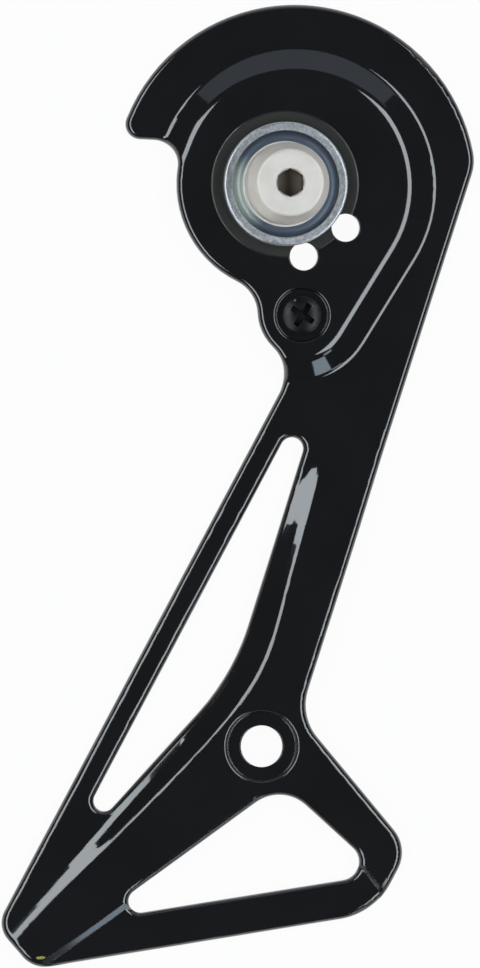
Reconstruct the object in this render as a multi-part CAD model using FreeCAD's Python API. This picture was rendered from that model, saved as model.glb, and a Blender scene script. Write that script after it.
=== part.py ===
import FreeCAD, Part
import math
import os

from FreeCAD import Vector

os.makedirs("parts", exist_ok=True)

# Sizes in millimetres. X runs to the right, Y towards the guard, Z out of the show face.
# The pivot axis is the Z axis, and Z = 0 is the show face of the raised head.

# pressed sheet
plate_thick = 2.6
raise_height = 2.4
front_round = 1.0
back_round = 0.4

# head: round guard with its low flange, round body about the pivot, hook and screw lobe
guard_radius = 29.18
guard_x = 1.84
guard_y = -0.36
flange_width = 6.93
body_radius = 17.37
hook_x = -21.9
hook_y = 7.14
hook_drop = 2.8
hook_round = 2.44
notch_round = 3.81
lobe_radius = 7.97
lobe_x = 3.61
lobe_y = -20.32
lobe_blend = 5.91
waist_blend = 6.28
shoulder_angle = -39.52
shoulder_inset = 0.69
shoulder_round = 7.0
neck_left = (-1.16, -34.32)

# lower pulley hole with its round seat
pulley_x = -3.70
pulley_drop = 89.98
pulley_hole = 3.34
seat_radius = 6.06
seat_depth = 0.9
seat_bevel = 0.5

# corners of the lower half before they are rounded, from the pulley hole
toe_upper = (-42.40, -28.82)
toe_lower = (-36.50, -35.67)
heel_lower = (18.31, -26.88)
heel_upper = (23.80, -16.36)
waist_right = (6.15, 4.83)
toe_round_upper = 4.12
toe_round_lower = 4.64
heel_round_lower = 11.2
heel_round_upper = 5.7
waist_round = 8.0

# long slot between the left leg and the arm; the last three points are from the pulley hole
leg_width = 4.15
slot_head = (2.50, -44.56)
slot_arm = (-1.87, 19.82)
slot_knee = (-13.20, 1.90)
slot_foot = (-22.51, -8.34)
slot_top_round = 1.80
slot_bend = 37.4
slot_bottom_round = 1.67

# three-sided window: a point on each side, from the pulley hole, and each side's heading
tri_bottom_point = (-2.43, -23.97)
tri_bottom_heading = 9.04
tri_right_point = (9.70, -11.80)
tri_right_heading = 137.86
tri_left_point = (-10.82, -16.26)
tri_left_heading = 216.12
tri_right_round = 2.93
tri_top_round = 6.33
tri_left_round = 1.85

# raised head: its wall and the straight sides that close it below
wall_angle = 32.0
wall_top_round = 3.6
wall_foot_round = 2.0
head_side_lean = 31.6
head_base_drop = 11.35
head_base_lean = 4.0
head_back_lean = 20.0
head_corner = 13.0

# slope from the low left leg up to the arm
join_y = -39.0
arm_top_x = 7.9
arm_end = (0.3, 12.38)
arm_bow = 0.45

# bottom strip, a little lower behind two folds; the points are from the pulley hole
fold_depth = 0.45
toe_fold_point = (-26.80, -29.02)
toe_fold_heading = -54.48
toe_fold_angle = 27.0
toe_fold_lift = 0.5
heel_fold_point = (18.30, -20.92)
heel_fold_heading = -138.93
heel_fold_angle = 45.0
heel_fold_lift = 1.0
strip_top = -17.52

# pivot: axle, bush around its root, turned face under the bush, spring holes beside it
axle_radius = 6.57
axle_root_step = 0.3
axle_taper = 1.24
axle_cone = 5.0
axle_height = 12.6
axle_tip_round = 0.4
axle_stem = 5.0
axle_collar_lip = 2.6
axle_collar_thick = 1.2
axle_collar_bevel = 0.4
hex_across = 4.0
hex_depth = 5.0
hex_entry = 0.35
thread_core = 2.1
thread_depth = 9.0
thread_mouth = 0.6
bush_wall = 3.09
bush_lip_width = 1.41
bush_height = 2.3
bush_floor = 0.7
bush_round = 0.35
bowl_sag = 0.45
bowl_foot = 0.2
face_margin = 1.64
face_depth = 0.12
face_edge_run = 0.23
face_edge_drop = 0.07
spring_hole = 2.24
spring_hole_gap = 2.0
spring_angles = [-35.7, -75.5]

# stop screw in its round recess
screw_x = 2.77
screw_y = -20.96
screw_recess = 4.25
screw_recess_depth = 0.9
screw_recess_bevel = 0.35
screw_head = 3.05
screw_side = 1.275
screw_dome = 0.425
screw_dome_fullness = 0.76
screw_shank = 2.0
screw_tail = 1.9
cross_arm = 2.05
cross_width = 0.95
cross_depth = 1.3
cross_well_foot = 0.35
cross_well_mouth = 1.05
cross_turn = 57.0

# how far cutting tools reach past the sheet, and blocks past the outline
past = 30.0
beyond = 150.0

# depth and number of the bands that the upper arm is made in
band_depth = 3.1
band_count = 7

# heights that follow from those sizes
head_z = 0.0
low_z = head_z - raise_height
deep_z = low_z - past
plate_back = head_z - plate_thick
bush_base = head_z - face_depth
bush_top = bush_base + bush_height
axle_end = plate_back - axle_collar_thick
pulley_y = -pulley_drop

origin = Vector(0, 0, 0)
upright = Vector(0, 0, 1)


def turn(v, degrees):
    a = math.radians(degrees)
    return Vector(v.x * math.cos(a) - v.y * math.sin(a), v.x * math.sin(a) + v.y * math.cos(a), 0)


def heading(degrees):
    return turn(Vector(1, 0, 0), degrees)


def unit(v):
    return v * (1.0 / v.Length)


def left_of(d):
    return Vector(-d.y, d.x, 0)


def flat(point):
    return Vector(point[0], point[1], 0)


# Points of the lower half are given from the pulley hole and move with it.
def from_pulley(point):
    return Vector(pulley_x + point[0], pulley_y + point[1], 0)


# A straight side is ("line", point, direction); a round side is ("arc", centre, radius, sense).
def line_through(p, q):
    return ("line", p, unit(q - p))


def line_along(p, d):
    return ("line", p, unit(d))


def shifted(side, distance):
    return ("line", side[1] + left_of(side[2]) * distance, side[2])


def cross_point(p, d, q, e):
    det = d.x * e.y - d.y * e.x
    s = ((q.x - p.x) * e.y - (q.y - p.y) * e.x) / det
    return p + d * s


# Centre of the round of that radius which touches both sides; of two, the one further "towards".
def blend_centre(a, b, radius, sense, towards):
    if a[0] == "line" and b[0] == "line":
        p = a[1] + left_of(a[2]) * (radius * sense)
        q = b[1] + left_of(b[2]) * (radius * sense)
        return cross_point(p, a[2], q, b[2])
    if a[0] == "line" or b[0] == "line":
        side = a if a[0] == "line" else b
        ring = b if a[0] == "line" else a
        reach = abs(ring[2] * ring[3] - radius * sense)
        p = side[1] + left_of(side[2]) * (radius * sense)
        foot = p + side[2] * (ring[1] - p).dot(side[2])
        half = math.sqrt(reach ** 2 - (ring[1] - foot).Length ** 2)
        choices = [foot + side[2] * half, foot - side[2] * half]
    else:
        ra = abs(a[2] * a[3] - radius * sense)
        rb = abs(b[2] * b[3] - radius * sense)
        gap = b[1] - a[1]
        along = (ra ** 2 - rb ** 2 + gap.Length ** 2) / (2 * gap.Length)
        half = math.sqrt(ra ** 2 - along ** 2)
        mid = a[1] + unit(gap) * along
        across = left_of(unit(gap)) * half
        choices = [mid + across, mid - across]
    return max(choices, key=lambda c: c.dot(towards))


def touch(side, centre):
    if side[0] == "line":
        return side[1] + side[2] * (centre - side[1]).dot(side[2])
    return side[1] + unit(centre - side[1]) * side[2]


def line_edge(start, end):
    return Part.LineSegment(start, end).toShape()


def arc_edge(centre, start, end, sense):
    a = math.atan2(start.y - centre.y, start.x - centre.x)
    b = math.atan2(end.y - centre.y, end.x - centre.x)
    sweep = (b - a) * sense % (2 * math.pi) * sense
    r = (start - centre).Length
    mid = centre + Vector(math.cos(a + sweep / 2), math.sin(a + sweep / 2), 0) * r
    return Part.Arc(start, mid, end).toShape()


# Closed wire of sides, each joined to the next by its round (radius, sense, towards).
def outline(sides, blends):
    count = len(sides)
    rounds = []
    for i in range(count):
        radius, sense, towards = blends[i]
        following = sides[(i + 1) % count]
        centre = blend_centre(sides[i], following, radius, sense, towards)
        rounds.append((centre, touch(sides[i], centre), touch(following, centre), sense))
    edges = []
    for i in range(count):
        begin = rounds[i - 1][2]
        end = rounds[i][1]
        if sides[i][0] == "line":
            edges.append(line_edge(begin, end))
        else:
            edges.append(arc_edge(sides[i][1], begin, end, sides[i][3]))
        edges.append(arc_edge(*rounds[i]))
    return Part.Wire(edges)


def through(wire):
    face = Part.Face(wire)
    face.translate(Vector(0, 0, -past))
    return face.extrude(Vector(0, 0, 2 * past))


def rod(radius, x, y, low, high):
    return Part.makeCylinder(radius, high - low, Vector(x, y, low))


# Edges on a circle of that radius about an upright axis, between two heights.
def ring_edges(shape, radius, x, y, z_low, z_high):
    found = []
    for edge in shape.Edges:
        points = edge.discretize(7)
        off = [abs(math.hypot(p.x - x, p.y - y) - radius) for p in points]
        level = [z_low < p.z < z_high for p in points]
        if max(off) < 0.02 and all(level):
            found.append(edge)
    return found


leftwards = Vector(-1, 0, 0)
upwards = Vector(0, 1, 0)

# outer outline, anticlockwise from the guard
guard_centre = Vector(guard_x, guard_y, 0)
shoulder = guard_centre + heading(shoulder_angle) * (guard_radius - shoulder_inset)
guard = ("arc", guard_centre, guard_radius, 1)
hook_under = line_along(Vector(hook_x, hook_y, 0), heading(-hook_drop))
body = ("arc", origin, body_radius, 1)
lobe = ("arc", Vector(lobe_x, lobe_y, 0), lobe_radius, 1)
left_edge = line_through(flat(neck_left), from_pulley(toe_upper))
toe_cut = line_through(from_pulley(toe_upper), from_pulley(toe_lower))
bottom_edge = line_through(from_pulley(toe_lower), from_pulley(heel_lower))
heel_edge = line_through(from_pulley(heel_lower), from_pulley(heel_upper))
right_leg = line_through(from_pulley(heel_upper), from_pulley(waist_right))
right_edge = line_through(from_pulley(waist_right), shoulder)

outer_wire = outline(
    [guard, hook_under, body, lobe, left_edge, toe_cut, bottom_edge, heel_edge, right_leg, right_edge],
    [
        (hook_round, 1, leftwards),
        (notch_round, -1, leftwards),
        (lobe_blend, -1, leftwards),
        (waist_blend, -1, leftwards),
        (toe_round_upper, 1, origin),
        (toe_round_lower, 1, origin),
        (heel_round_lower, 1, origin),
        (heel_round_upper, 1, origin),
        (waist_round, -1, origin),
        (shoulder_round, 1, upwards),
    ],
)

slot_left = shifted(left_edge, leg_width)
slot_lower = line_through(from_pulley(slot_foot), from_pulley(slot_knee))
slot_upper = line_through(from_pulley(slot_arm), flat(slot_head))
slot_wire = outline(
    [slot_left, slot_lower, slot_upper],
    [(slot_bottom_round, 1, origin), (slot_bend, 1, origin), (slot_top_round, 1, origin)],
)

tri_bottom = line_along(from_pulley(tri_bottom_point), heading(tri_bottom_heading))
tri_right = line_along(from_pulley(tri_right_point), heading(tri_right_heading))
tri_left = line_along(from_pulley(tri_left_point), heading(tri_left_heading))
tri_wire = outline(
    [tri_bottom, tri_right, tri_left],
    [(tri_right_round, 1, origin), (tri_top_round, 1, origin), (tri_left_round, 1, origin)],
)

# The head is raised over the guard flange by a sloped wall that follows the guard's circle.
head_foot = guard_radius - flange_width
wall_run = raise_height / math.tan(math.radians(wall_angle))
side_way = heading(-90 - head_side_lean)
base_way = heading(180 + head_base_lean)
back_way = heading(90 - head_back_lean)


# Closed loop round the raised head; its left part lies outside the plate.
def head_loop(inset, z):
    side = line_along(guard_centre + left_of(side_way) * (head_foot - inset), side_way)
    base = shifted(line_along(Vector(lobe_x, lobe_y - head_base_drop, 0), base_way), -inset)
    back = line_along(guard_centre + left_of(back_way) * (head_foot - inset), back_way)
    corner_round = head_corner - inset
    side_corner = blend_centre(side, base, corner_round, -1, origin)
    back_corner = blend_centre(base, back, corner_round, -1, origin)
    edges = [
        arc_edge(guard_centre, touch(back, guard_centre), touch(side, guard_centre), -1),
        line_edge(touch(side, guard_centre), touch(side, side_corner)),
        arc_edge(side_corner, touch(side, side_corner), touch(base, side_corner), -1),
        line_edge(touch(base, side_corner), touch(base, back_corner)),
        arc_edge(back_corner, touch(base, back_corner), touch(back, back_corner), -1),
        line_edge(touch(back, back_corner), touch(back, guard_centre)),
    ]
    wire = Part.Wire(edges)
    wire.translate(Vector(0, 0, z))
    return wire


def edges_on(shape, wire):
    found = []
    for edge in shape.Edges:
        mid = edge.valueAt((edge.FirstParameter + edge.LastParameter) / 2)
        if wire.distToShape(Part.Vertex(mid))[0] < 0.001:
            found.append(edge)
    return found


foot_loop = head_loop(0, low_z)
top_loop = head_loop(wall_run, head_z)
upper_block = Part.makeBox(2 * beyond, beyond, past, Vector(-beyond, join_y, deep_z))
upper_block = upper_block.fuse(Part.makeLoft([foot_loop, top_loop], True, True))
upper_block = upper_block.makeFillet(wall_top_round, edges_on(upper_block, top_loop))
upper_block = upper_block.makeFillet(wall_foot_round, edges_on(upper_block, foot_loop))


# Below the head the left leg stays low, and the arm climbs to the pulley hole and falls away
# again to toe and heel. A slope of double curve joins the two.
# On the arm the top of the slope lies on a slightly bowed line.
def arm_point(share):
    start = Vector(arm_top_x, join_y, 0)
    bow = Vector(arm_bow * 4 * share * (1 - share), 0, 0)
    return start + (from_pulley(arm_end) - start) * share + bow


# Each station: top of the slope, width of the slope, climb at its top, climb at the far right,
# and the length of the eased foot as a share of the width.
stations = [
    (arm_point(0.0), 1.8, 0.0, 0.0, 0.25),
    (arm_point(0.06), 2.0, 0.02, 0.02, 0.25),
    (arm_point(0.15), 2.8, 0.18, 0.18, 0.25),
    (arm_point(0.342), 4.95, 0.62, 0.62, 0.25),
    (arm_point(0.71), 4.95, 1.0, 1.0, 0.20),
    (arm_point(1.0), 5.1, 1.0, 0.95, 0.20),
    (from_pulley((-5.0, 4.48)), 5.9, 1.0, 0.8, 0.32),
    (from_pulley((-10.9, -2.12)), 6.3, 1.0, 0.6, 0.45),
    (from_pulley((-22.0, -13.62)), 5.3, 0.66, 0.25, 0.45),
    (from_pulley((-29.5, -21.22)), 4.6, 0.36, 0.10, 0.42),
    (from_pulley((-38.5, -31.22)), 4.4, 0.29, 0.05, 0.38),
    (from_pulley((-50.3, -44.42)), 4.4, 0.22, 0.05, 0.38),
]
far_left = -75.0
far_right = 45.0
top_ease = 0.20
slope_strips = 6


def slope_section(station):
    top, width, climb, far_climb, foot_ease = station
    high = low_z + climb * raise_height

    def at(x, z):
        return Vector(x, top.y, z)

    corner = at(far_left, low_z)
    foot = at(top.x - width, low_z)
    crest = at(top.x, high)
    end = at(far_right, low_z + far_climb * raise_height)
    rise = Part.BezierCurve()
    foot_handle = at(foot.x + foot_ease * width, low_z)
    top_handle = at(crest.x - top_ease * width, high)
    rise.setPoles([foot, foot_handle, top_handle, crest])
    fall = Part.BezierCurve()
    fall.setPoles([crest, at((crest.x + far_right) / 2, high), end])
    edges = [line_edge(at(far_left, deep_z), corner), line_edge(corner, foot)]
    for i in range(slope_strips):
        strip = rise.copy()
        strip.segment(i / slope_strips, (i + 1) / slope_strips)
        edges.append(strip.toShape())
    edges.append(fall.toShape())
    edges.append(line_edge(end, at(far_right, deep_z)))
    edges.append(line_edge(at(far_right, deep_z), at(far_left, deep_z)))
    return Part.Wire(edges)


# The stations are repeated in mirror image above the join, so the slope starts level there.
def mirrored(station):
    top = station[0]
    return (Vector(top.x, 2 * join_y - top.y, 0),) + station[1:]


all_stations = [mirrored(s) for s in stations[:0:-1]] + stations
lower_block = Part.makeLoft([slope_section(s) for s in all_stations], True, False)


# The sheet's back is its show face moved down by its thickness.
def sheet_from(block):
    back = block.copy()
    back.translate(Vector(0, 0, -plate_thick))
    return through(outer_wire).common(block).cut(back)


# Edges between an upright wall and the show face (side 1) or the back (side -1).
def rim_edges(shape, side):
    found = []
    for edge in shape.Edges:
        faces = shape.ancestorsOfType(edge, Part.Face)
        if len(faces) != 2:
            continue
        point = edge.valueAt((edge.FirstParameter + edge.LastParameter) / 2)
        rises = []
        for face in faces:
            u, v = face.Surface.parameter(point)
            rise = face.Surface.normal(u, v).z
            rises.append(-rise if face.Orientation == "Reversed" else rise)
        is_wall = [abs(rise) < 0.02 for rise in rises]
        if is_wall[0] == is_wall[1]:
            continue
        other = rises[1] if is_wall[0] else rises[0]
        if other * side > 0.3:
            found.append(edge)
    return found


upper_zone = Part.makeBox(2 * beyond, beyond, 2 * past, Vector(-beyond, join_y, -past))
upper_sheet = sheet_from(upper_block).common(upper_zone)
lower_sheet = sheet_from(lower_block).cut(upper_zone)
lower_sheet = lower_sheet.cut(through(slot_wire)).cut(through(tri_wire))


# The arm is put together from bands, which keeps the faces of its slope short.
def band(index):
    high = join_y - index * band_depth
    depth = band_depth if index < band_count else beyond
    corner = Vector(-beyond, high - depth, -past)
    return lower_sheet.common(Part.makeBox(2 * beyond, depth, 2 * past, corner))


sheet = upper_sheet.multiFuse([band(i) for i in range(band_count + 1)])
sheet = sheet.makeFillet(front_round, rim_edges(sheet, 1))
sheet = sheet.makeFillet(back_round, rim_edges(sheet, -1))


# Space over a plane that falls away from the point along its heading.
def above_fold(point, degrees, angle, lift):
    block = Part.makeBox(2 * beyond, 2 * beyond, 2 * past, Vector(-beyond, -beyond, 0))
    block.rotate(origin, Vector(0, 1, 0), angle)
    block.rotate(origin, upright, degrees)
    block.translate(from_pulley(point) + Vector(0, 0, low_z + lift))
    return block


strip_corner = Vector(-beyond, pulley_y + strip_top - beyond, -past)
strip_zone = Part.makeBox(2 * beyond, beyond, 2 * past, strip_corner)
toe_fold = above_fold(toe_fold_point, toe_fold_heading, toe_fold_angle, toe_fold_lift)
heel_fold = above_fold(heel_fold_point, heel_fold_heading, heel_fold_angle, heel_fold_lift)
strip_zone = strip_zone.common(toe_fold).common(heel_fold)
strip = sheet.copy()
strip.translate(Vector(0, 0, -fold_depth))
plate = sheet.cut(strip_zone).fuse(strip.common(strip_zone))

# pulley hole and its seat
seat_wall = seat_radius - seat_bevel
plate = plate.cut(rod(pulley_hole, pulley_x, pulley_y, -past, past))
plate = plate.cut(rod(seat_wall, pulley_x, pulley_y, head_z - seat_depth, past))
seat_rim = ring_edges(plate, seat_wall, pulley_x, pulley_y, -seat_bevel, seat_bevel)
plate = plate.makeFillet(seat_bevel, seat_rim)

# turned face and hole for the axle, spring holes beside the bush
axle_root = axle_radius + axle_root_step
bush_outer = axle_root + bush_wall
face_radius = bush_outer + face_margin
plate = plate.cut(rod(face_radius, 0, 0, bush_base, past))
edge_foot = Vector(0, 0, head_z - face_edge_drop)
edge_reach = face_radius + 2 * face_edge_run
plate = plate.cut(Part.makeCone(face_radius, edge_reach, 2 * face_edge_drop, edge_foot))
plate = plate.cut(rod(axle_stem, 0, 0, -past, past))
for angle in spring_angles:
    place = heading(angle) * (bush_outer + spring_hole_gap)
    plate = plate.cut(rod(spring_hole, place.x, place.y, -past, past))

# recess and hole for the stop screw
screw_seat = head_z - screw_recess_depth
plate = plate.cut(rod(screw_recess, screw_x, screw_y, screw_seat, past))
plate = plate.cut(rod(screw_shank, screw_x, screw_y, -past, past))
recess_rim = ring_edges(plate, screw_recess, screw_x, screw_y, -0.1, 0.1)
plate = plate.makeFillet(screw_recess_bevel, recess_rim)
plate.exportStep("parts/cage_plate.step")

# bush: a turned ring with a rounded lip and a bowl down to the axle's root
bush_lip = bush_outer - bush_lip_width
bowl_z = bush_base + bush_floor


def at_radius(r, z):
    return Vector(r, 0, z)


# Mid point of a quarter round, as a share of its radius in from the corner.
quarter_in = 1 - math.sqrt(0.5)
bush_corner = at_radius(bush_outer - quarter_in * bush_round, bush_top - quarter_in * bush_round)
bowl_mid = at_radius((bush_lip + axle_root + bowl_foot) / 2 + bowl_sag, bowl_z + bowl_sag)
bush_profile = [
    line_edge(at_radius(axle_root, bush_base), at_radius(bush_outer, bush_base)),
    line_edge(at_radius(bush_outer, bush_base), at_radius(bush_outer, bush_top - bush_round)),
    Part.Arc(
        at_radius(bush_outer, bush_top - bush_round),
        bush_corner,
        at_radius(bush_outer - bush_round, bush_top),
    ).toShape(),
    line_edge(at_radius(bush_outer - bush_round, bush_top), at_radius(bush_lip, bush_top)),
    Part.Arc(at_radius(bush_lip, bush_top), bowl_mid, at_radius(axle_root + bowl_foot, bowl_z)).toShape(),
    line_edge(at_radius(axle_root + bowl_foot, bowl_z), at_radius(axle_root, bowl_z)),
    line_edge(at_radius(axle_root, bowl_z), at_radius(axle_root, bush_base)),
]
bush = Part.Face(Part.Wire(bush_profile)).revolve(origin, upright, 360)
bush.exportStep("parts/pivot_bush.step")

# axle: stepped turned shaft with a collar behind the plate, a hexagon socket in front
# and a threaded hole from behind
axle_top = axle_radius - axle_taper
axle_collar = axle_stem + axle_collar_lip
cone_foot = axle_height - axle_cone
axle = rod(axle_root, 0, 0, bush_base, bowl_z)
axle = axle.fuse(rod(axle_radius, 0, 0, bowl_z, cone_foot))
axle = axle.fuse(Part.makeCone(axle_radius, axle_top, axle_cone, Vector(0, 0, cone_foot)))
axle = axle.fuse(rod(axle_stem, 0, 0, plate_back, bush_base))
axle = axle.fuse(rod(axle_collar, 0, 0, axle_end, plate_back))
axle = axle.removeSplitter()
tip_rim = ring_edges(axle, axle_top, 0, 0, axle_height - 0.01, axle_height + 0.01)
axle = axle.makeFillet(axle_tip_round, tip_rim)
collar_rim = ring_edges(axle, axle_collar, 0, 0, axle_end - 0.01, axle_end + 0.01)
axle = axle.makeChamfer(axle_collar_bevel, collar_rim)
hex_corner = hex_across / math.sqrt(3)
hex_floor = Vector(0, 0, axle_height - hex_depth)
corners = [heading(90 + 60 * i) * hex_corner + hex_floor for i in range(7)]
axle = axle.cut(Part.Face(Part.makePolygon(corners)).extrude(Vector(0, 0, hex_depth + past)))
entry_foot = Vector(0, 0, axle_height - hex_entry)
entry = Part.makeCone(hex_across / 2, hex_across / 2 + 2 * hex_entry, 2 * hex_entry, entry_foot)
axle = axle.cut(entry)
axle = axle.cut(rod(thread_core, 0, 0, axle_end - past, axle_end + thread_depth))
thread_foot = Vector(0, 0, axle_end)
mouth = Part.makeCone(thread_core + thread_mouth, thread_core, thread_mouth, thread_foot)
axle = axle.cut(mouth)
axle.exportStep("parts/pivot_axle.step")

# stop screw: low domed head with a cross recess, threaded through the plate
dome_edge = screw_seat + screw_side
dome_top = dome_edge + screw_dome
dome_mid = at_radius(math.sqrt(0.5) * screw_head, dome_edge + screw_dome_fullness * screw_dome)
dome_profile = [
    line_edge(at_radius(0, screw_seat), at_radius(screw_head, screw_seat)),
    line_edge(at_radius(screw_head, screw_seat), at_radius(screw_head, dome_edge)),
    Part.Arc(at_radius(screw_head, dome_edge), dome_mid, at_radius(0, dome_top)).toShape(),
    line_edge(at_radius(0, dome_top), at_radius(0, screw_seat)),
]
screw = Part.Face(Part.Wire(dome_profile)).revolve(origin, upright, 360)
screw = screw.fuse(rod(screw_shank, 0, 0, plate_back - screw_tail, screw_seat))
cross_floor = dome_top - cross_depth
arm_corner = Vector(-cross_arm, -cross_width / 2, cross_floor)
arm = Part.makeBox(2 * cross_arm, cross_width, past, arm_corner)
other_arm = arm.copy()
other_arm.rotate(origin, upright, 90)
well = Part.makeCone(cross_well_foot, cross_well_mouth, cross_depth, Vector(0, 0, cross_floor))
cross = arm.fuse(other_arm).fuse(well)
cross.rotate(origin, upright, cross_turn)
screw = screw.cut(cross)
screw.translate(Vector(screw_x, screw_y, 0))
screw.exportStep("parts/stop_screw.step")

for name, shape in [("plate", plate), ("bush", bush), ("axle", axle), ("screw", screw)]:
    print(name, "valid", shape.isValid(), "solids", len(shape.Solids), "mm3", round(shape.Volume, 1))
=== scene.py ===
import bpy
import math
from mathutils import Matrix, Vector


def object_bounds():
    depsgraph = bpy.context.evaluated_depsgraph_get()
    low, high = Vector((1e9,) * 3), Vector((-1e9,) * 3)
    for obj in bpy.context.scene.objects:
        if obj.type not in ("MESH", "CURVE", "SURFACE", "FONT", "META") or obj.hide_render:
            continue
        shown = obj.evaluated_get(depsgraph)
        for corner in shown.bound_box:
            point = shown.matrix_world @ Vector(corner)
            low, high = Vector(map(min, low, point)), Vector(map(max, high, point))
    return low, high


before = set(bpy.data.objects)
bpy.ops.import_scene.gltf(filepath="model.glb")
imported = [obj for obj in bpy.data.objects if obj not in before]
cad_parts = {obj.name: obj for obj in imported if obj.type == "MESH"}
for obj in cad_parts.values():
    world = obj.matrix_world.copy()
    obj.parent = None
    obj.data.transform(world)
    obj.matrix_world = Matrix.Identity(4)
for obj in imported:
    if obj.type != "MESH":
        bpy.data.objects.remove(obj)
cadLow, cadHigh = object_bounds()
bpy.ops.object.select_all(action="DESELECT")
print("frame loaded:", sorted(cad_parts))

# in the looks, places round the pivot are in millimetres and all other lengths in metres
mm = 0.001


# small helpers for node trees
def put(tree, kind, settings=None, values=None):
    node = tree.nodes.new(kind)
    for name, value in (settings or {}).items():
        setattr(node, name, value)
    for name, value in (values or {}).items():
        node.inputs[name].default_value = value
    return node


def join(tree, source, output, target, socket):
    tree.links.new(source.outputs[output], target.inputs[socket])


def calc(tree, operation, first, second=None, third=None):
    node = put(tree, "ShaderNodeMath", {"operation": operation})
    for index, value in enumerate((first, second, third)):
        if value is None:
            continue
        if isinstance(value, tuple):
            join(tree, value[0], value[1], node, index)
        else:
            node.inputs[index].default_value = value
    return node, 0


def vectorCalc(tree, operation, first, second=None):
    node = put(tree, "ShaderNodeVectorMath", {"operation": operation})
    join(tree, first[0], first[1], node, 0)
    if second is not None:
        node.inputs[1].default_value = second
    return node


def ramp(tree, source, fromLow, fromHigh, toLow=0.0, toHigh=1.0, smooth=True):
    ends = {"From Min": fromLow, "From Max": fromHigh, "To Min": toLow, "To Max": toHigh}
    node = put(tree, "ShaderNodeMapRange", {"interpolation_type": "SMOOTHSTEP" if smooth else "LINEAR"}, ends)
    join(tree, source[0], source[1], node, "Value")
    return node, 0


# sockets of the mix node for either kind: first, second, result
colourSockets = (6, 7, 2)
valueSockets = (2, 3, 0)


def blendColour(tree, share, first, second):
    firstIn, secondIn, result = colourSockets
    node = put(tree, "ShaderNodeMix", {"data_type": "RGBA"})
    join(tree, share[0], share[1], node, 0)
    for index, value in ((firstIn, first), (secondIn, second)):
        if isinstance(value[0], bpy.types.Node):
            join(tree, value[0], value[1], node, index)
        else:
            node.inputs[index].default_value = (*value, 1.0)
    return node, result


def blendValue(tree, share, first, second):
    firstIn, secondIn, result = valueSockets
    node = put(tree, "ShaderNodeMix", {"data_type": "FLOAT"})
    join(tree, share[0], share[1], node, 0)
    for index, value in ((firstIn, first), (secondIn, second)):
        if isinstance(value, tuple):
            join(tree, value[0], value[1], node, index)
        else:
            node.inputs[index].default_value = value
    return node, result


def bump(tree, height, distance, below=None):
    node = put(tree, "ShaderNodeBump", values={"Distance": distance, "Strength": 1.0})
    join(tree, height[0], height[1], node, "Height")
    if below:
        join(tree, below[0], below[1], node, "Normal")
    return node, 0


def startGroup(name, inputs, outputs):
    tree = bpy.data.node_groups.new(name, "ShaderNodeTree")
    for label, kind, value in inputs:
        socket = tree.interface.new_socket(label, in_out="INPUT", socket_type="NodeSocket" + kind)
        if value is not None:
            socket.default_value = value
    for label, kind in outputs:
        tree.interface.new_socket(label, in_out="OUTPUT", socket_type="NodeSocket" + kind)
    return tree, put(tree, "NodeGroupInput"), put(tree, "NodeGroupOutput")


def useGroup(tree, group, links, values=None):
    node = put(tree, "ShaderNodeGroup", {"node_tree": group}, values)
    for socket, source in links.items():
        join(tree, source[0], source[1], node, socket)
    return node


def startMaterial(name, constants):
    material = bpy.data.materials.new(name)
    material.use_nodes = True
    tree = material.node_tree
    shader = tree.nodes["Principled BSDF"]
    for socket, value in constants.items():
        shader.inputs[socket].default_value = value
    coords = put(tree, "ShaderNodeTexCoord")
    return material, tree, shader, (coords, "Object")


# distance from the pivot axis and height over the head's show face in millimetres, and the angle round the axis
def makePivotPlace():
    tree, enter, leave = startGroup(
        "pivotPlace", [("Vector", "Vector", None)], [("Radius", "Float"), ("Height", "Float"), ("Angle", "Float")]
    )
    split = put(tree, "ShaderNodeSeparateXYZ")
    join(tree, enter, "Vector", split, 0)
    xSquared = calc(tree, "MULTIPLY", (split, 0), (split, 0))
    bothSquared = calc(tree, "MULTIPLY_ADD", (split, 1), (split, 1), xSquared)
    radius = calc(tree, "DIVIDE", calc(tree, "SQRT", bothSquared), mm)
    height = calc(tree, "DIVIDE", (split, 2), mm)
    angle = calc(tree, "ARCTAN2", (split, 1), (split, 0))
    join(tree, radius[0], 0, leave, "Radius")
    join(tree, height[0], 0, leave, "Height")
    join(tree, angle[0], 0, leave, "Angle")
    return tree


# tool marks left by turning: fine rings of uneven depth
ringShape = {"fineDetail": 3.0, "broadDetail": 2.0, "broadPace": 0.23, "broadShare": 0.6}


def makeTurnedRings(shape):
    tree, enter, leave = startGroup(
        "turnedRings",
        [("Radius", "Float", 0.0), ("Angle", "Float", 0.0), ("Rings per mm", "Float", 6.0)],
        [("Relief", "Float"), ("Shade", "Float")],
    )
    along = calc(tree, "MULTIPLY", (enter, "Radius"), (enter, "Rings per mm"))
    line = {"noise_dimensions": "1D"}
    fine = put(tree, "ShaderNodeTexNoise", line, {"Scale": 1.0, "Detail": shape["fineDetail"]})
    join(tree, along[0], 0, fine, "W")
    wander = calc(tree, "SINE", (enter, "Angle"))
    slow = calc(tree, "MULTIPLY_ADD", along, shape["broadPace"], wander)
    broad = put(tree, "ShaderNodeTexNoise", line, {"Scale": 1.0, "Detail": shape["broadDetail"]})
    join(tree, slow[0], 0, broad, "W")
    join(tree, fine, 0, leave, "Relief")
    finePart = calc(tree, "MULTIPLY", (fine, 0), 1.0 - shape["broadShare"])
    shade = calc(tree, "MULTIPLY_ADD", (broad, 0), shape["broadShare"], finePart)
    join(tree, shade[0], 0, leave, "Shade")
    return tree


# cloudy change of colour in a coat or plating
cloudShape = {"detail": 5.0, "roughness": 0.6, "range": (0.3, 0.7)}


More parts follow.
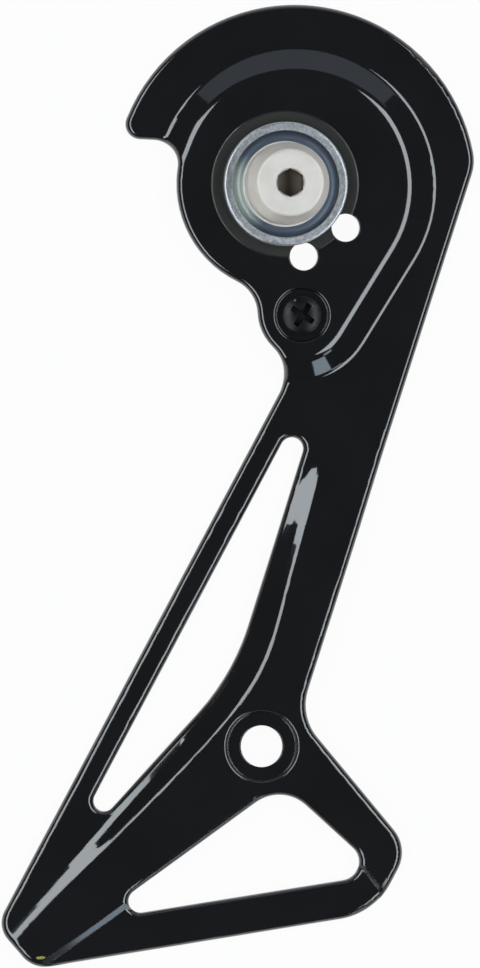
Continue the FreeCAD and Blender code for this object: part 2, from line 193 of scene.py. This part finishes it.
def makeCoatClouds(shape):
    tree, enter, leave = startGroup(
        "coatClouds",
        [
            ("Vector", "Vector", None),
            ("Scale", "Float", 100.0),
            ("Dark", "Color", (0.1, 0.1, 0.1, 1)),
            ("Light", "Color", (0.2, 0.2, 0.2, 1)),
        ],
        [("Colour", "Color"), ("Share", "Float")],
    )
    cloud = put(tree, "ShaderNodeTexNoise", values={"Detail": shape["detail"], "Roughness": shape["roughness"]})
    join(tree, enter, "Vector", cloud, "Vector")
    join(tree, enter, "Scale", cloud, "Scale")
    share = ramp(tree, (cloud, 0), *shape["range"])
    mix = blendColour(tree, share, (enter, "Dark"), (enter, "Light"))
    join(tree, mix[0], mix[1], leave, "Colour")
    join(tree, share[0], 0, leave, "Share")
    return tree


# sparse specks of dust of uneven size
dustShape = {"smallest": 0.35}


def makeSettledDust(shape):
    tree, enter, leave = startGroup(
        "settledDust",
        [("Vector", "Vector", None), ("Scale", "Float", 250.0), ("Share", "Float", 0.05), ("Size", "Float", 0.05)],
        [("Mask", "Float")],
    )
    cells = put(tree, "ShaderNodeTexVoronoi", {"feature": "F1"}, {"Randomness": 1.0})
    join(tree, enter, "Vector", cells, "Vector")
    join(tree, enter, "Scale", cells, "Scale")
    pick = put(tree, "ShaderNodeSeparateColor")
    join(tree, cells, "Color", pick, 0)
    chosen = calc(tree, "LESS_THAN", (pick, 0), (enter, "Share"))
    reach = calc(tree, "MULTIPLY", (enter, "Size"), calc(tree, "ADD", (pick, 1), shape["smallest"]))
    near = calc(tree, "LESS_THAN", (cells, "Distance"), reach)
    both = calc(tree, "MULTIPLY", chosen, near)
    join(tree, both[0], 0, leave, "Mask")
    return tree


# hair-fine handling scratches in one direction, in patches
scratchShape = {
    "stretch": (0.06, 1.0, 1.0),
    "detail": 2.0,
    "middle": 0.5,
    "thin": 0.006,
    "patchScale": 90.0,
    "patchRange": (0.56, 0.66),
}


def makeFineScratches(shape):
    tree, enter, leave = startGroup(
        "fineScratches",
        [("Vector", "Vector", None), ("Scale", "Float", 300.0), ("Turn", "Vector", (0.0, 0.0, 0.6))],
        [("Mask", "Float")],
    )
    lay = put(tree, "ShaderNodeMapping", values={"Scale": shape["stretch"]})
    join(tree, enter, "Vector", lay, "Vector")
    join(tree, enter, "Turn", lay, "Rotation")
    streak = put(tree, "ShaderNodeTexNoise", values={"Detail": shape["detail"]})
    join(tree, lay, 0, streak, "Vector")
    join(tree, enter, "Scale", streak, "Scale")
    off = calc(tree, "ABSOLUTE", calc(tree, "SUBTRACT", (streak, 0), shape["middle"]))
    line = ramp(tree, off, 0.0, shape["thin"], 1.0, 0.0)
    patch = put(tree, "ShaderNodeTexNoise", values={"Scale": shape["patchScale"], "Detail": shape["detail"]})
    join(tree, enter, "Vector", patch, "Vector")
    where = ramp(tree, (patch, 0), *shape["patchRange"])
    mask = calc(tree, "MULTIPLY", line, where)
    join(tree, mask[0], 0, leave, "Mask")
    return tree


pivotPlace = makePivotPlace()
turnedRings = makeTurnedRings(ringShape)
coatClouds = makeCoatClouds(cloudShape)
settledDust = makeSettledDust(dustShape)
fineScratches = makeFineScratches(scratchShape)
print("shared effects ready")


# the shared effects with one finish's own values
def addClouds(tree, coords, look):
    values = {"Scale": look["cloudScale"], "Dark": (*look["dark"], 1), "Light": (*look["light"], 1)}
    return useGroup(tree, coatClouds, {"Vector": coords}, values)


def addRings(tree, place, look):
    links = {"Radius": (place, "Radius"), "Angle": (place, "Angle")}
    return useGroup(tree, turnedRings, links, {"Rings per mm": look["ringsPerMm"]})


def darker(colour, share):
    return tuple(c * share for c in colour)


# gloss black paint of the plate, with the bare turned face under the bush
paintLook = {
    "shader": {"Specular IOR Level": 0.25, "Coat Roughness": 0.03, "Coat IOR": 1.75},
    "dark": (0.0098, 0.0098, 0.0106),
    "light": (0.0120, 0.0121, 0.0133),
    "cloudScale": 55.0,
    "gloss": (0.075, 0.12),
    "peel": {"Scale": 620.0, "Detail": 1.0},
    "peelHeight": 0.0000016,
    "edgeRadius": 0.0004,
    "edgeSamples": 8,
    # each fold's middle, direction across it, half width, half length, and edge radius at its two ends
    "folds": [
        {
            "place": (-0.0305, -0.1190, -0.0022),
            "turn": -54.48,
            "width": 0.0011,
            "half": 0.0072,
            "ease": (0.0004, 0.00004),
        },
        {
            "place": (0.0146, -0.1109, -0.0019),
            "turn": -138.93,
            "width": 0.0012,
            "half": 0.0036,
            "ease": (0.0003, 0.0015),
        },
    ],
    "faceColour": (0.0370, 0.0350, 0.0315),
    "faceDark": 0.75,
    "faceRadius": 11.60,
    "faceEdge": 0.04,
    "faceHeights": (-0.3, -0.2),
    "faceRough": 0.55,
    "ringsPerMm": 5.0,
    "ringHeight": 0.000004,
    # painted highlight along the edge of the turned face, strongest at its sides
    "rimHighlightColour": (0.085, 0.083, 0.078),
    "rimWidth": 0.22,
    "highlightSides": (0.40, 0.78),
    "dust": {"Scale": 260.0, "Share": 0.045, "Size": 0.045},
    "dustColour": (0.30, 0.29, 0.27),
    "dustRough": 0.85,
    "scratchScale": 420.0,
    "scratchRough": 0.12,
    "chipPlace": (-0.0391, -0.1238, -0.00167),
    "chipShape": (1.2, 3.2, 1.0),
    "chipColour": (0.44, 0.42, 0.14),
    "chipGrain": {"Scale": 1800.0, "Detail": 3.0},
    "chipReach": 0.0014,
    "chipEdge": 0.0002,
}


# edge radius that changes along one narrow fold and stays as it was elsewhere
def easeAtFold(tree, coords, fold, ease):
    turn = math.radians(fold["turn"])
    half = fold["half"]
    toFold = vectorCalc(tree, "SUBTRACT", coords, fold["place"])
    across = vectorCalc(tree, "DOT_PRODUCT", (toFold, 0), (math.cos(turn), math.sin(turn), 0.0))
    along = vectorCalc(tree, "DOT_PRODUCT", (toFold, 0), (-math.sin(turn), math.cos(turn), 0.0))
    inBand = calc(tree, "LESS_THAN", calc(tree, "ABSOLUTE", (across, 1)), fold["width"])
    inReach = calc(tree, "LESS_THAN", calc(tree, "ABSOLUTE", (along, 1)), half)
    atFold = calc(tree, "MULTIPLY", inBand, inReach)
    foldEase = ramp(tree, (along, 1), -half, half, *fold["ease"], smooth=False)
    return blendValue(tree, atFold, ease, foldEase)


def makePlatePaint(look):
    material, tree, shader, coords = startMaterial("platePaint", look["shader"])
    clouds = addClouds(tree, coords, look)
    place = useGroup(tree, pivotPlace, {"Vector": coords})
    rings = addRings(tree, place, look)
    edge = look["faceEdge"]
    inside = ramp(tree, (place, "Radius"), look["faceRadius"] - edge, look["faceRadius"], 1.0, 0.0)
    upper = ramp(tree, (place, "Height"), *look["faceHeights"])
    face = calc(tree, "MULTIPLY", inside, upper)
    rimFoot = ramp(tree, (place, "Radius"), look["faceRadius"] - edge, look["faceRadius"] + edge)
    rimEnd = look["faceRadius"] + look["rimWidth"]
    rimTop = ramp(tree, (place, "Radius"), rimEnd, rimEnd + edge, 1.0, 0.0)
    rimHighlight = calc(tree, "MULTIPLY", calc(tree, "MULTIPLY", rimFoot, rimTop), upper)
    # painted highlight: the edge of the turned face is coloured bright at its sides only, where the side lamps
    # catch it
    sideways = calc(tree, "ABSOLUTE", calc(tree, "COSINE", (place, "Angle")))
    rimHighlight = calc(tree, "MULTIPLY", rimHighlight, ramp(tree, sideways, *look["highlightSides"]))
    dust = useGroup(tree, settledDust, {"Vector": coords}, look["dust"])
    marks = useGroup(tree, fineScratches, {"Vector": coords}, {"Scale": look["scratchScale"]})
    # small chip in the paint at the toe
    toChip = vectorCalc(tree, "SUBTRACT", coords, look["chipPlace"])
    shaped = vectorCalc(tree, "MULTIPLY", (toChip, 0), look["chipShape"])
    away = vectorCalc(tree, "LENGTH", (shaped, 0))
    ragged = put(tree, "ShaderNodeTexNoise", values=look["chipGrain"])
    join(tree, coords[0], coords[1], ragged, "Vector")
    reach = calc(tree, "MULTIPLY_ADD", (ragged, 0), -look["chipReach"], (away, 1))
    chip = ramp(tree, reach, 0.0, look["chipEdge"], 1.0, 0.0)

    faceDark = darker(look["faceColour"], look["faceDark"])
    turned = blendColour(tree, (rings, "Shade"), faceDark, look["faceColour"])
    colour = blendColour(tree, face, (clouds, "Colour"), turned)
    colour = blendColour(tree, rimHighlight, colour, look["rimHighlightColour"])
    colour = blendColour(tree, (dust, "Mask"), colour, look["dustColour"])
    colour = blendColour(tree, chip, colour, look["chipColour"])
    join(tree, colour[0], colour[1], shader, "Base Color")

    gloss = ramp(tree, (clouds, "Share"), 0.0, 1.0, *look["gloss"], smooth=False)
    gloss = calc(tree, "MULTIPLY_ADD", (marks, "Mask"), look["scratchRough"], gloss)
    gloss = blendValue(tree, face, gloss, look["faceRough"])
    gloss = blendValue(tree, (dust, "Mask"), gloss, look["dustRough"])
    join(tree, gloss[0], 0, shader, "Roughness")
    bare = calc(tree, "MAXIMUM", face, (dust, "Mask"))
    coat = calc(tree, "SUBTRACT", 1.0, bare)
    join(tree, coat[0], 0, shader, "Coat Weight")

    peel = put(tree, "ShaderNodeTexNoise", values=look["peel"])
    join(tree, coords[0], coords[1], peel, "Vector")
    # edges are eased, less and less along the toe's fold and more and more along the heel's
    ease = look["edgeRadius"]
    for fold in look["folds"]:
        ease = easeAtFold(tree, coords, fold, ease)
    soft = put(tree, "ShaderNodeBevel", {"samples": look["edgeSamples"]})
    join(tree, ease[0], 0, soft, "Radius")
    join(tree, soft, 0, shader, "Coat Normal")
    normal = bump(tree, (peel, 0), look["peelHeight"], (soft, 0))
    ringRelief = calc(tree, "MULTIPLY", (rings, "Relief"), face)
    normal = bump(tree, ringRelief, look["ringHeight"], normal)
    join(tree, normal[0], 0, shader, "Normal")
    return material


# bluish zinc plate of the bush: dull mottled lip, darker smooth bowl, with painted light on one side of the bowl
zincLook = {
    "shader": {"Metallic": 1.0},
    "dark": (0.52, 0.545, 0.58),
    "light": (0.76, 0.785, 0.81),
    "cloudScale": 2600.0,
    "cloudHeight": 0.000004,
    "ringsPerMm": 9.0,
    "ringHeight": 0.000005,
    "lipRadius": 8.55,
    "bowlEdge": (-0.12, 0.02),
    "bowlTint": (0.205, 0.262, 0.350),
    "bowlDark": 0.8,
    "litSideTint": (0.58, 0.70, 0.70),
    "litSideAngle": 3.35,
    "litSideSpread": (0.62, 1.0),
    "lipRough": (0.30, 0.44),
    "bowlRough": 0.32,
    "dust": {"Scale": 900.0, "Share": 0.08, "Size": 0.12},
    "dustRough": 0.3,
    "edgeRadius": 0.0003,
    "edgeSamples": 8,
}


def makeBushZinc(look):
    material, tree, shader, coords = startMaterial("bushZinc", look["shader"])
    clouds = addClouds(tree, coords, look)
    place = useGroup(tree, pivotPlace, {"Vector": coords})
    rings = addRings(tree, place, look)
    bowlFrom, bowlTo = (look["lipRadius"] + edge for edge in look["bowlEdge"])
    bowl = ramp(tree, (place, "Radius"), bowlFrom, bowlTo, 1.0, 0.0)
    tint = blendColour(tree, (rings, "Shade"), darker(look["bowlTint"], look["bowlDark"]), look["bowlTint"])
    # painted light: the bowl's colour turns paler and greener on one side, where the lit wall of the bowl is
    turn = calc(tree, "COSINE", calc(tree, "SUBTRACT", (place, "Angle"), look["litSideAngle"]))
    tint = blendColour(tree, ramp(tree, turn, *look["litSideSpread"]), tint, look["litSideTint"])
    colour = blendColour(tree, bowl, (clouds, "Colour"), tint)
    join(tree, colour[0], colour[1], shader, "Base Color")
    rough = ramp(tree, (clouds, "Share"), 0.0, 1.0, *look["lipRough"], smooth=False)
    rough = blendValue(tree, bowl, rough, look["bowlRough"])
    dust = useGroup(tree, settledDust, {"Vector": coords}, look["dust"])
    rough = calc(tree, "MULTIPLY_ADD", (dust, "Mask"), look["dustRough"], rough)
    join(tree, rough[0], 0, shader, "Roughness")
    soft = put(tree, "ShaderNodeBevel", {"samples": look["edgeSamples"]}, {"Radius": look["edgeRadius"]})
    normal = bump(tree, (rings, "Relief"), look["ringHeight"], (soft, 0))
    normal = bump(tree, (clouds, "Share"), look["cloudHeight"], normal)
    join(tree, normal[0], 0, shader, "Normal")
    return material


# warm satin nickel of the axle, turned, with painted shade darkening the socket and a thread behind
nickelLook = {
    "shader": {"Metallic": 0.6},
    "dark": (0.84, 0.785, 0.715),
    "light": (0.95, 0.89, 0.82),
    "cloudScale": 420.0,
    "rough": (0.46, 0.54),
    "ringsPerMm": 7.0,
    "ringHeight": 0.000006,
    "scratches": {"Scale": 900.0, "Turn": (0.0, 0.0, 1.9)},
    "scratchRough": -0.12,
    "socketShadeColour": (0.27, 0.225, 0.19),
    "socketRadius": 2.40,
    "socketEdge": 0.06,
    "socketTop": 12.45,
    "socketFade": 0.15,
    "threadPitch": 0.8,
    "threadTop": 5.15,
    "threadFade": 0.1,
    "threadHeight": 0.0006,
}


def makeAxleNickel(look):
    material, tree, shader, coords = startMaterial("axleNickel", look["shader"])
    clouds = addClouds(tree, coords, look)
    place = useGroup(tree, pivotPlace, {"Vector": coords})
    rings = addRings(tree, place, look)
    wall, top = look["socketRadius"], look["socketTop"]
    inner = ramp(tree, (place, "Radius"), wall - look["socketEdge"], wall, 1.0, 0.0)
    below = ramp(tree, (place, "Height"), top - look["socketFade"], top, 1.0, 0.0)
    socket = calc(tree, "MULTIPLY", inner, below)
    dulled = blendColour(tree, (rings, "Shade"), (clouds, "Colour"), look["light"])
    # painted shade: the walls of the hex socket are coloured dark for the shade deep inside it
    colour = blendColour(tree, socket, dulled, look["socketShadeColour"])
    join(tree, colour[0], colour[1], shader, "Base Color")
    rough = ramp(tree, (clouds, "Share"), 0.0, 1.0, *look["rough"], smooth=False)
    marks = useGroup(tree, fineScratches, {"Vector": coords}, look["scratches"])
    rough = calc(tree, "MULTIPLY_ADD", (marks, "Mask"), look["scratchRough"], rough)
    join(tree, rough[0], 0, shader, "Roughness")
    # thread of the hole behind
    turns = calc(tree, "DIVIDE", (place, "Height"), look["threadPitch"])
    phase = calc(tree, "MULTIPLY_ADD", (place, "Angle"), 1 / math.tau, turns)
    halfTurn = 0.5
    flank = calc(tree, "PINGPONG", phase, halfTurn)
    end = look["threadTop"]
    inHole = ramp(tree, (place, "Height"), end - look["threadFade"], end, 1.0, 0.0)
    inHole = calc(tree, "MULTIPLY", inHole, inner)
    thread = calc(tree, "MULTIPLY", flank, inHole)
    normal = bump(tree, thread, look["threadHeight"])
    normal = bump(tree, (rings, "Relief"), look["ringHeight"], normal)
    join(tree, normal[0], 0, shader, "Normal")
    return material


# black oxide of the stop screw
oxideLook = {
    "shader": {"Specular IOR Level": 0.3},
    "dark": (0.0040, 0.0040, 0.0042),
    "light": (0.0090, 0.0088, 0.0086),
    "cloudScale": 700.0,
    "cloudHeight": 0.000006,
    "rough": (0.26, 0.36),
    "dust": {"Scale": 700.0, "Share": 0.10, "Size": 0.09},
    "dustColour": (0.20, 0.19, 0.18),
    "scratchScale": 1200.0,
    "scratchRough": 0.2,
}


def makeScrewOxide(look):
    material, tree, shader, coords = startMaterial("screwOxide", look["shader"])
    clouds = addClouds(tree, coords, look)
    dust = useGroup(tree, settledDust, {"Vector": coords}, look["dust"])
    colour = blendColour(tree, (dust, "Mask"), (clouds, "Colour"), look["dustColour"])
    join(tree, colour[0], colour[1], shader, "Base Color")
    rough = ramp(tree, (clouds, "Share"), 0.0, 1.0, *look["rough"], smooth=False)
    marks = useGroup(tree, fineScratches, {"Vector": coords}, {"Scale": look["scratchScale"]})
    rough = calc(tree, "MULTIPLY_ADD", (marks, "Mask"), look["scratchRough"], rough)
    join(tree, rough[0], 0, shader, "Roughness")
    normal = bump(tree, (clouds, "Share"), look["cloudHeight"])
    join(tree, normal[0], 0, shader, "Normal")
    return material


finishes = {
    "cage_plate": makePlatePaint(paintLook),
    "pivot_bush": makeBushZinc(zincLook),
    "pivot_axle": makeAxleNickel(nickelLook),
    "stop_screw": makeScrewOxide(oxideLook),
}
for name, material in finishes.items():
    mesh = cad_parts[name].data
    mesh.materials.clear()
    mesh.materials.append(material)
print("finishes on the pieces:", len(finishes))

# pale floor, white to camera, glossy and transmitted rays apart from the soft shadow
floorLook = {"width": 14.0, "glow": 0.95, "colour": (0.86, 0.86, 0.86)}


def makeFloor(look):
    bpy.ops.mesh.primitive_plane_add(size=look["width"], location=(0.0, 0.0, cadLow.z))
    floor = bpy.context.object
    floor.name = "floor"
    bpy.ops.object.transform_apply(location=True, rotation=True, scale=True)
    material = bpy.data.materials.new("paleFloor")
    material.use_nodes = True
    tree = material.node_tree
    tree.nodes.clear()
    end = put(tree, "ShaderNodeOutputMaterial")
    ray = put(tree, "ShaderNodeLightPath")
    card = put(tree, "ShaderNodeBsdfDiffuse", values={"Color": (*look["colour"], 1)})
    glow = put(tree, "ShaderNodeEmission", values={"Color": (1, 1, 1, 1), "Strength": 1.0})
    seen = calc(tree, "MAXIMUM", (ray, "Is Camera Ray"), (ray, "Is Glossy Ray"))
    seen = calc(tree, "MAXIMUM", seen, (ray, "Is Transmission Ray"))
    share = calc(tree, "MULTIPLY", seen, look["glow"])
    mix = put(tree, "ShaderNodeMixShader")
    join(tree, share[0], 0, mix, 0)
    join(tree, card, 0, mix, 1)
    join(tree, glow, 0, mix, 2)
    # from below the floor lets the camera through
    side = put(tree, "ShaderNodeNewGeometry")
    clear = put(tree, "ShaderNodeBsdfTransparent")
    under = calc(tree, "MULTIPLY", (side, "Backfacing"), (ray, "Is Camera Ray"))
    top = put(tree, "ShaderNodeMixShader")
    join(tree, under[0], 0, top, 0)
    join(tree, mix, 0, top, 1)
    join(tree, clear, 0, top, 2)
    join(tree, top, 0, end, "Surface")
    floor.data.materials.append(material)


makeFloor(floorLook)

# world: white to camera and transmitted rays, to all others a dim room that is paler at the horizon
roomLook = {"dim": (0.030, 0.031, 0.035), "pale": (0.62, 0.60, 0.57), "paleFrom": 0.27, "paleFull": 0.12}


def makeRoom(look):
    world = bpy.data.worlds.new("room")
    bpy.context.scene.world = world
    world.use_nodes = True
    tree = world.node_tree
    tree.nodes.clear()
    end = put(tree, "ShaderNodeOutputWorld")
    ray = put(tree, "ShaderNodeLightPath")
    white = put(tree, "ShaderNodeBackground", values={"Color": (1, 1, 1, 1), "Strength": 1.0})
    where = put(tree, "ShaderNodeTexCoord")
    split = put(tree, "ShaderNodeSeparateXYZ")
    join(tree, where, "Generated", split, 0)
    horizon = ramp(tree, (split, 2), look["paleFull"], look["paleFrom"], 1.0, 0.0)
    shade = blendColour(tree, horizon, look["dim"], look["pale"])
    dim = put(tree, "ShaderNodeBackground", values={"Strength": 1.0})
    join(tree, shade[0], shade[1], dim, "Color")
    seen = calc(tree, "MAXIMUM", (ray, "Is Camera Ray"), (ray, "Is Transmission Ray"))
    mix = put(tree, "ShaderNodeMixShader")
    join(tree, seen[0], 0, mix, 0)
    join(tree, dim, 0, mix, 1)
    join(tree, white, 0, mix, 2)
    join(tree, mix, 0, end, "Surface")


makeRoom(roomLook)

# studio lamps: azimuth and zenith in degrees from the part, sizes in metres, radiance 1 = white
lampLooks = {
    "softboxRight": {
        "azimuth": -3.5,
        "zenith": 31.0,
        "size": (2.35, 0.66),
        "radiance": 3.9,
        "colour": (0.88, 0.955, 1.0),
    },
    "softboxLeft": {
        "azimuth": 183.7,
        "zenith": 30.5,
        "size": (2.36, 0.70),
        "radiance": 3.9,
        "colour": (0.88, 0.955, 1.0),
    },
    "topStrip": {
        "azimuth": 86.0,
        "zenith": 66.0,
        "size": (3.4, 1.1),
        "radiance": 0.36,
        "colour": (0.73, 0.84, 1.0),
    },
    "lowPanel": {
        "azimuth": -61.5,
        "zenith": 68.0,
        "size": (0.40, 0.40),
        "radiance": 2.2,
        "colour": (0.72, 0.87, 1.0),
    },
    "toePanel": {
        "azimuth": -50.8,
        "zenith": 56.3,
        "size": (0.235, 0.26),
        "radiance": 2.2,
        "colour": (0.72, 0.87, 1.0),
    },
}
lampFar = 2.0
aimAt = Vector((-7.23, -48.0, 0.0)) * mm


def makeLamp(name, look):
    azimuth = math.radians(look["azimuth"])
    zenith = math.radians(look["zenith"])
    level = math.sin(zenith)
    away = Vector((level * math.cos(azimuth), level * math.sin(azimuth), math.cos(zenith)))
    data = bpy.data.lights.new(name, "AREA")
    data.shape = "RECTANGLE"
    data.size, data.size_y = look["size"]
    data.energy = look["radiance"] * math.pi * data.size * data.size_y
    data.color = look["colour"]
    lamp = bpy.data.objects.new(name, data)
    bpy.context.scene.collection.objects.link(lamp)
    lamp.location = aimAt + away * lampFar
    lamp.rotation_mode = "QUATERNION"
    lamp.rotation_quaternion = (-away).to_track_quat("-Z", "Y")
    lamp.visible_camera = False


for name, look in lampLooks.items():
    makeLamp(name, look)
print("stage lit by", len(lampLooks), "lamps")

# camera straight over the part, leaning a little to the left as in the photo
cameraLook = {"lean": 3.8, "distance": 2.5, "fieldHeight": 0.15488, "sensor": 36.0, "farthest": 50.0}


def makeCamera(look):
    data = bpy.data.cameras.new("camera")
    data.sensor_width = look["sensor"]
    data.lens = look["sensor"] * look["distance"] / look["fieldHeight"]
    data.clip_end = look["farthest"]
    camera = bpy.data.objects.new("camera", data)
    bpy.context.scene.collection.objects.link(camera)
    lean = math.radians(look["lean"])
    camera.location = aimAt + Vector((-math.sin(lean), 0.0, math.cos(lean))) * look["distance"]
    camera.rotation_euler = (0.0, -lean, 0.0)
    bpy.context.scene.camera = camera


makeCamera(cameraLook)
bpy.context.scene.view_settings.view_transform = "Standard"
print("camera set")
